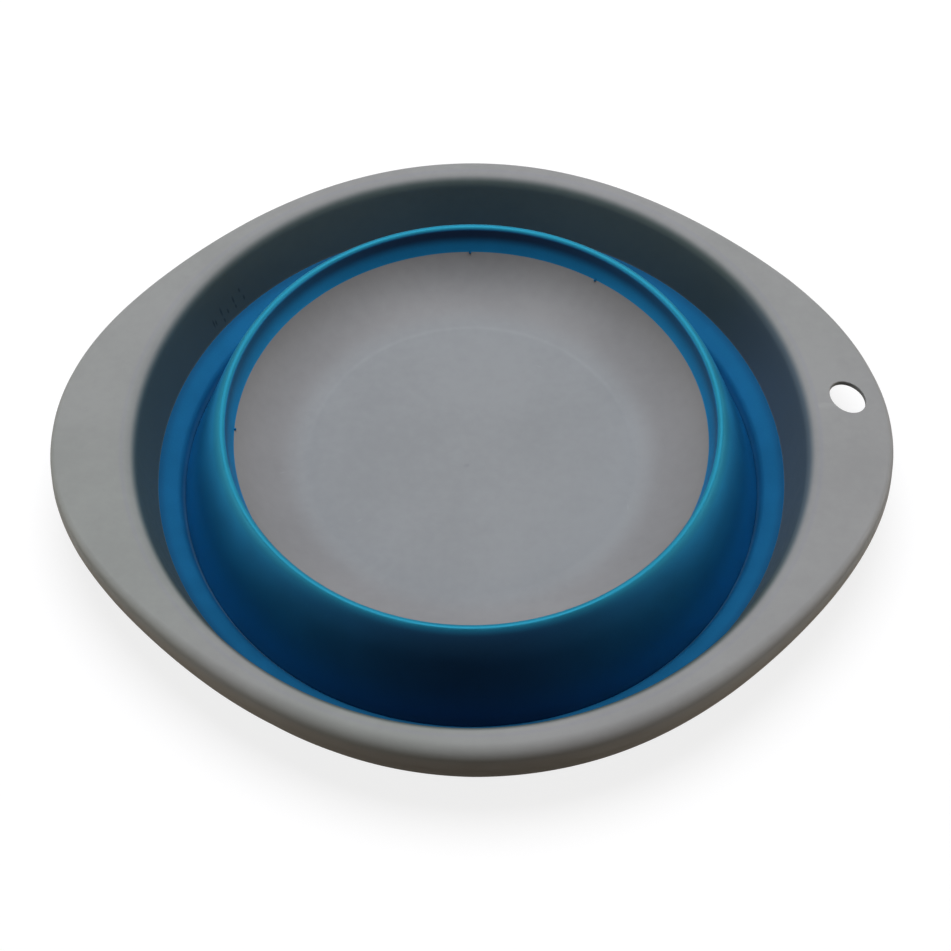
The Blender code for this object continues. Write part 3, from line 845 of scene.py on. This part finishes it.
# Painted shade on the skirt, in three depths round it.
skirt_shade = blended(tree, step(tree, sideways, -SKIRT_SIDEWAYS, -1.0), SKIRT_SHADE_BACK, SKIRT_SHADE_LEFT)
skirt_shade = blended(tree, step(tree, sideways, SKIRT_SIDEWAYS, 1.0), skirt_shade, SKIRT_SHADE_RIGHT)
flange_start = seam_radius + SKIRT_LEAN + inner_reach
lower = maths(tree, "ADD", radius, step(tree, sideways, *SKIRT_LOWERED))
on_skirt = step(tree, lower, flange_start - SKIRT_START, flange_start - SKIRT_END)
colour = blended(tree, on_skirt, colour, skirt_shade)
# Painted glow on the inner rounding.
glow = ring_at(tree, radius, flange_start - SKIRT_GLOW_INSET, SKIRT_GLOW_WIDTH)
colour = tinted(tree, glow, SKIRT_GLOW_STRENGTH, colour, SKIRT_GLOW)
for x, y, z, length in SCUFFS:
    size = (SCUFF_REACH, SCUFF_WIDTH, length)
    scuff = mark(tree, place, (x, y, z), size, np.arctan2(y, x), SCUFF_SOFTNESS)
    colour = tinted(tree, scuff, SCUFF_STRENGTH, colour, SCUFF_COLOUR)
wear_and_highlight = step(tree, node(tree, "NewGeometry", {}).outputs["Pointiness"], *WORN_POINTINESS)
colour = tinted(tree, wear_and_highlight, WORN_STRENGTH, colour, WORN_GREY)
grey_finish(tree, surface, place, colour)

angle = np.linspace(0, 2 * np.pi, STATIONS, endpoint=False)
radius, height = drawn_out(rim_rows(), angle)
rim = round_the_axis("rim_moulding", radius, height)
cutter = hole_cutter("hang_hole_cutter", rim_top - RIM_WALL, rim_top)
cut = rim.modifiers.new("hang_hole", "BOOLEAN")
cut.operation = "DIFFERENCE"
cut.solver = "EXACT"
cut.object = cutter
bpy.context.view_layer.update()
finished = bpy.data.meshes.new_from_object(rim.evaluated_get(bpy.context.evaluated_depsgraph_get()))
rim.modifiers.clear()
rim.data = finished
bpy.data.objects.remove(cutter)
rim.data.materials.clear()
rim.data.materials.append(rim_look)
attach(rim, "rim")
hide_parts("rim_frame")

# Floor. A plain pale table. The camera, and whatever mirrors it, sees it near white with the bowl's
# soft shadow on it; the light that it throws back on the bowl is that of a dark table.

FLOOR_REACH = 6.0
FLOOR_HEIGHT = -0.0005
FLOOR_GLOW = 0.82
FLOOR_SEEN = (0.24, 0.24, 0.24, 1)
FLOOR_BOUNCE = (0.070, 0.059, 0.048, 1)
corner = np.array([[-1, -1], [1, -1], [1, 1], [-1, 1]]) * FLOOR_REACH
floor_mesh = bpy.data.meshes.new("floor")
floor_mesh.from_pydata(np.c_[corner, np.full(4, FLOOR_HEIGHT)], [], [(0, 1, 2, 3)])
floor = bpy.data.objects.new("floor", floor_mesh)
bpy.context.scene.collection.objects.link(floor)


def background_rays(tree):
    """1 for rays from the camera and for mirrored and transmitted ones, 0 for light."""
    path = node(tree, "LightPath", {}).outputs
    mirrored = maths(tree, "MAXIMUM", path["Is Glossy Ray"], path["Is Transmission Ray"])
    return maths(tree, "MAXIMUM", path["Is Camera Ray"], mirrored)


floor_look = bpy.data.materials.new("pale_floor")
floor_look.use_nodes = True
tree = floor_look.node_tree
tree.nodes.remove(tree.nodes["Principled BSDF"])
glow = node(tree, "Emission", {"Strength": FLOOR_GLOW}).outputs[0]
seen = node(tree, "BsdfDiffuse", {"Color": FLOOR_SEEN}).outputs[0]
seen = node(tree, "AddShader", {0: glow, 1: seen}).outputs[0]
bounce = node(tree, "BsdfDiffuse", {"Color": FLOOR_BOUNCE}).outputs[0]
shown = node(tree, "MixShader", {0: background_rays(tree), 1: bounce, 2: seen}).outputs[0]
tree.links.new(shown, tree.nodes["Material Output"].inputs["Surface"])
floor.data.materials.append(floor_look)

# Room. A small studio, white round the horizon and dim above it, as the camera and the glossy rays see
# it. The light that it throws on the bowl is a faint, warm one from everywhere.

ROOM_LIGHT = (1.0, 0.97, 0.94, 1)
ROOM_STRENGTH = 0.03
ROOM_DIM = (0.05, 0.052, 0.055, 1)
ROOM_WHITE = (1, 1, 1, 1)
HORIZON = (np.sin(np.radians(8)), np.sin(np.radians(16)))
world = bpy.data.worlds.new("room")
world.use_nodes = True
bpy.context.scene.world = world
tree = world.node_tree
ambient = tree.nodes["Background"]
ambient.inputs["Color"].default_value = ROOM_LIGHT
ambient.inputs["Strength"].default_value = ROOM_STRENGTH
direction = node(tree, "TexCoord", {}).outputs["Generated"]
up = node(tree, "SeparateXYZ", {0: direction}).outputs["Z"]
walls = blended(tree, step(tree, up, *HORIZON), ROOM_WHITE, ROOM_DIM)
walls = node(tree, "Background", {"Color": walls, "Strength": 1.0}).outputs[0]
shown = node(tree, "MixShader", {0: background_rays(tree), 1: ambient.outputs[0], 2: walls}).outputs[0]
tree.links.new(shown, tree.nodes["World Output"].inputs["Surface"])

# Lamps. One large soft lamp above and behind the bowl, two low ones at its sides and a small one in
# front, as the shading in the photograph has them.

LAMP_DISTANCE = 1.6
BACK_DISTANCE = 1.0


def lamp(name, elevation, azimuth, distance, size, irradiance):
    """A round lamp aimed at the bowl, with elevation and azimuth in degrees, azimuth 0 at the back.

    Its colour and power give the irradiance, over pi, on a surface that faces it.
    """
    data = bpy.data.lights.new(name, "AREA")
    data.shape = "DISK"
    data.size = size
    power = max(irradiance)
    data.color = np.array(irradiance) / power
    data.energy = power * np.pi * np.pi * distance**2
    made = bpy.data.objects.new(name, data)
    bpy.context.scene.collection.objects.link(made)
    lift, turn = np.radians(elevation), np.radians(azimuth)
    across = distance * np.cos(lift)
    made.location = (across * np.sin(turn), across * np.cos(turn), distance * np.sin(lift))
    made.rotation_euler = (-made.location).to_track_quat("-Z", "Y").to_euler()


lamp("back_lamp", 75, 0, BACK_DISTANCE, size=0.75, irradiance=(0.89, 0.90, 0.94))
lamp("left_lamp", 8, 270, LAMP_DISTANCE, size=1.2, irradiance=(0.37, 0.34, 0.30))
lamp("right_lamp", 8, 90, LAMP_DISTANCE, size=1.2, irradiance=(0.38, 0.345, 0.30))
lamp("front_lamp", 2, 180, LAMP_DISTANCE, size=0.5, irradiance=(0.040, 0.030, 0.020))

# Camera. It stands where the photograph was taken from, in front of the bowl and above it, and its lens
# and aim put the bowl on the same pixels.

SENSOR = 36.0
FOCAL_PIXELS = 2152
PHOTO_PIXELS = 951
camera_data = bpy.data.cameras.new("camera")
camera_data.sensor_width = SENSOR
camera_data.lens = SENSOR * FOCAL_PIXELS / PHOTO_PIXELS
camera = bpy.data.objects.new("camera", camera_data)
bpy.context.scene.collection.objects.link(camera)
CAMERA_DISTANCE = 0.640
CAMERA_ELEVATION = np.radians(53.57)
PLANE_HEIGHT = 0.025
AIM = Vector((0.0012, -0.01615, PLANE_HEIGHT))
rise = CAMERA_DISTANCE * np.sin(CAMERA_ELEVATION)
camera.location = (0, -CAMERA_DISTANCE * np.cos(CAMERA_ELEVATION), PLANE_HEIGHT + rise)
camera.rotation_euler = (AIM - camera.location).to_track_quat("-Z", "Y").to_euler()
bpy.context.scene.camera = camera

bpy.context.scene.view_settings.view_transform = "Standard"
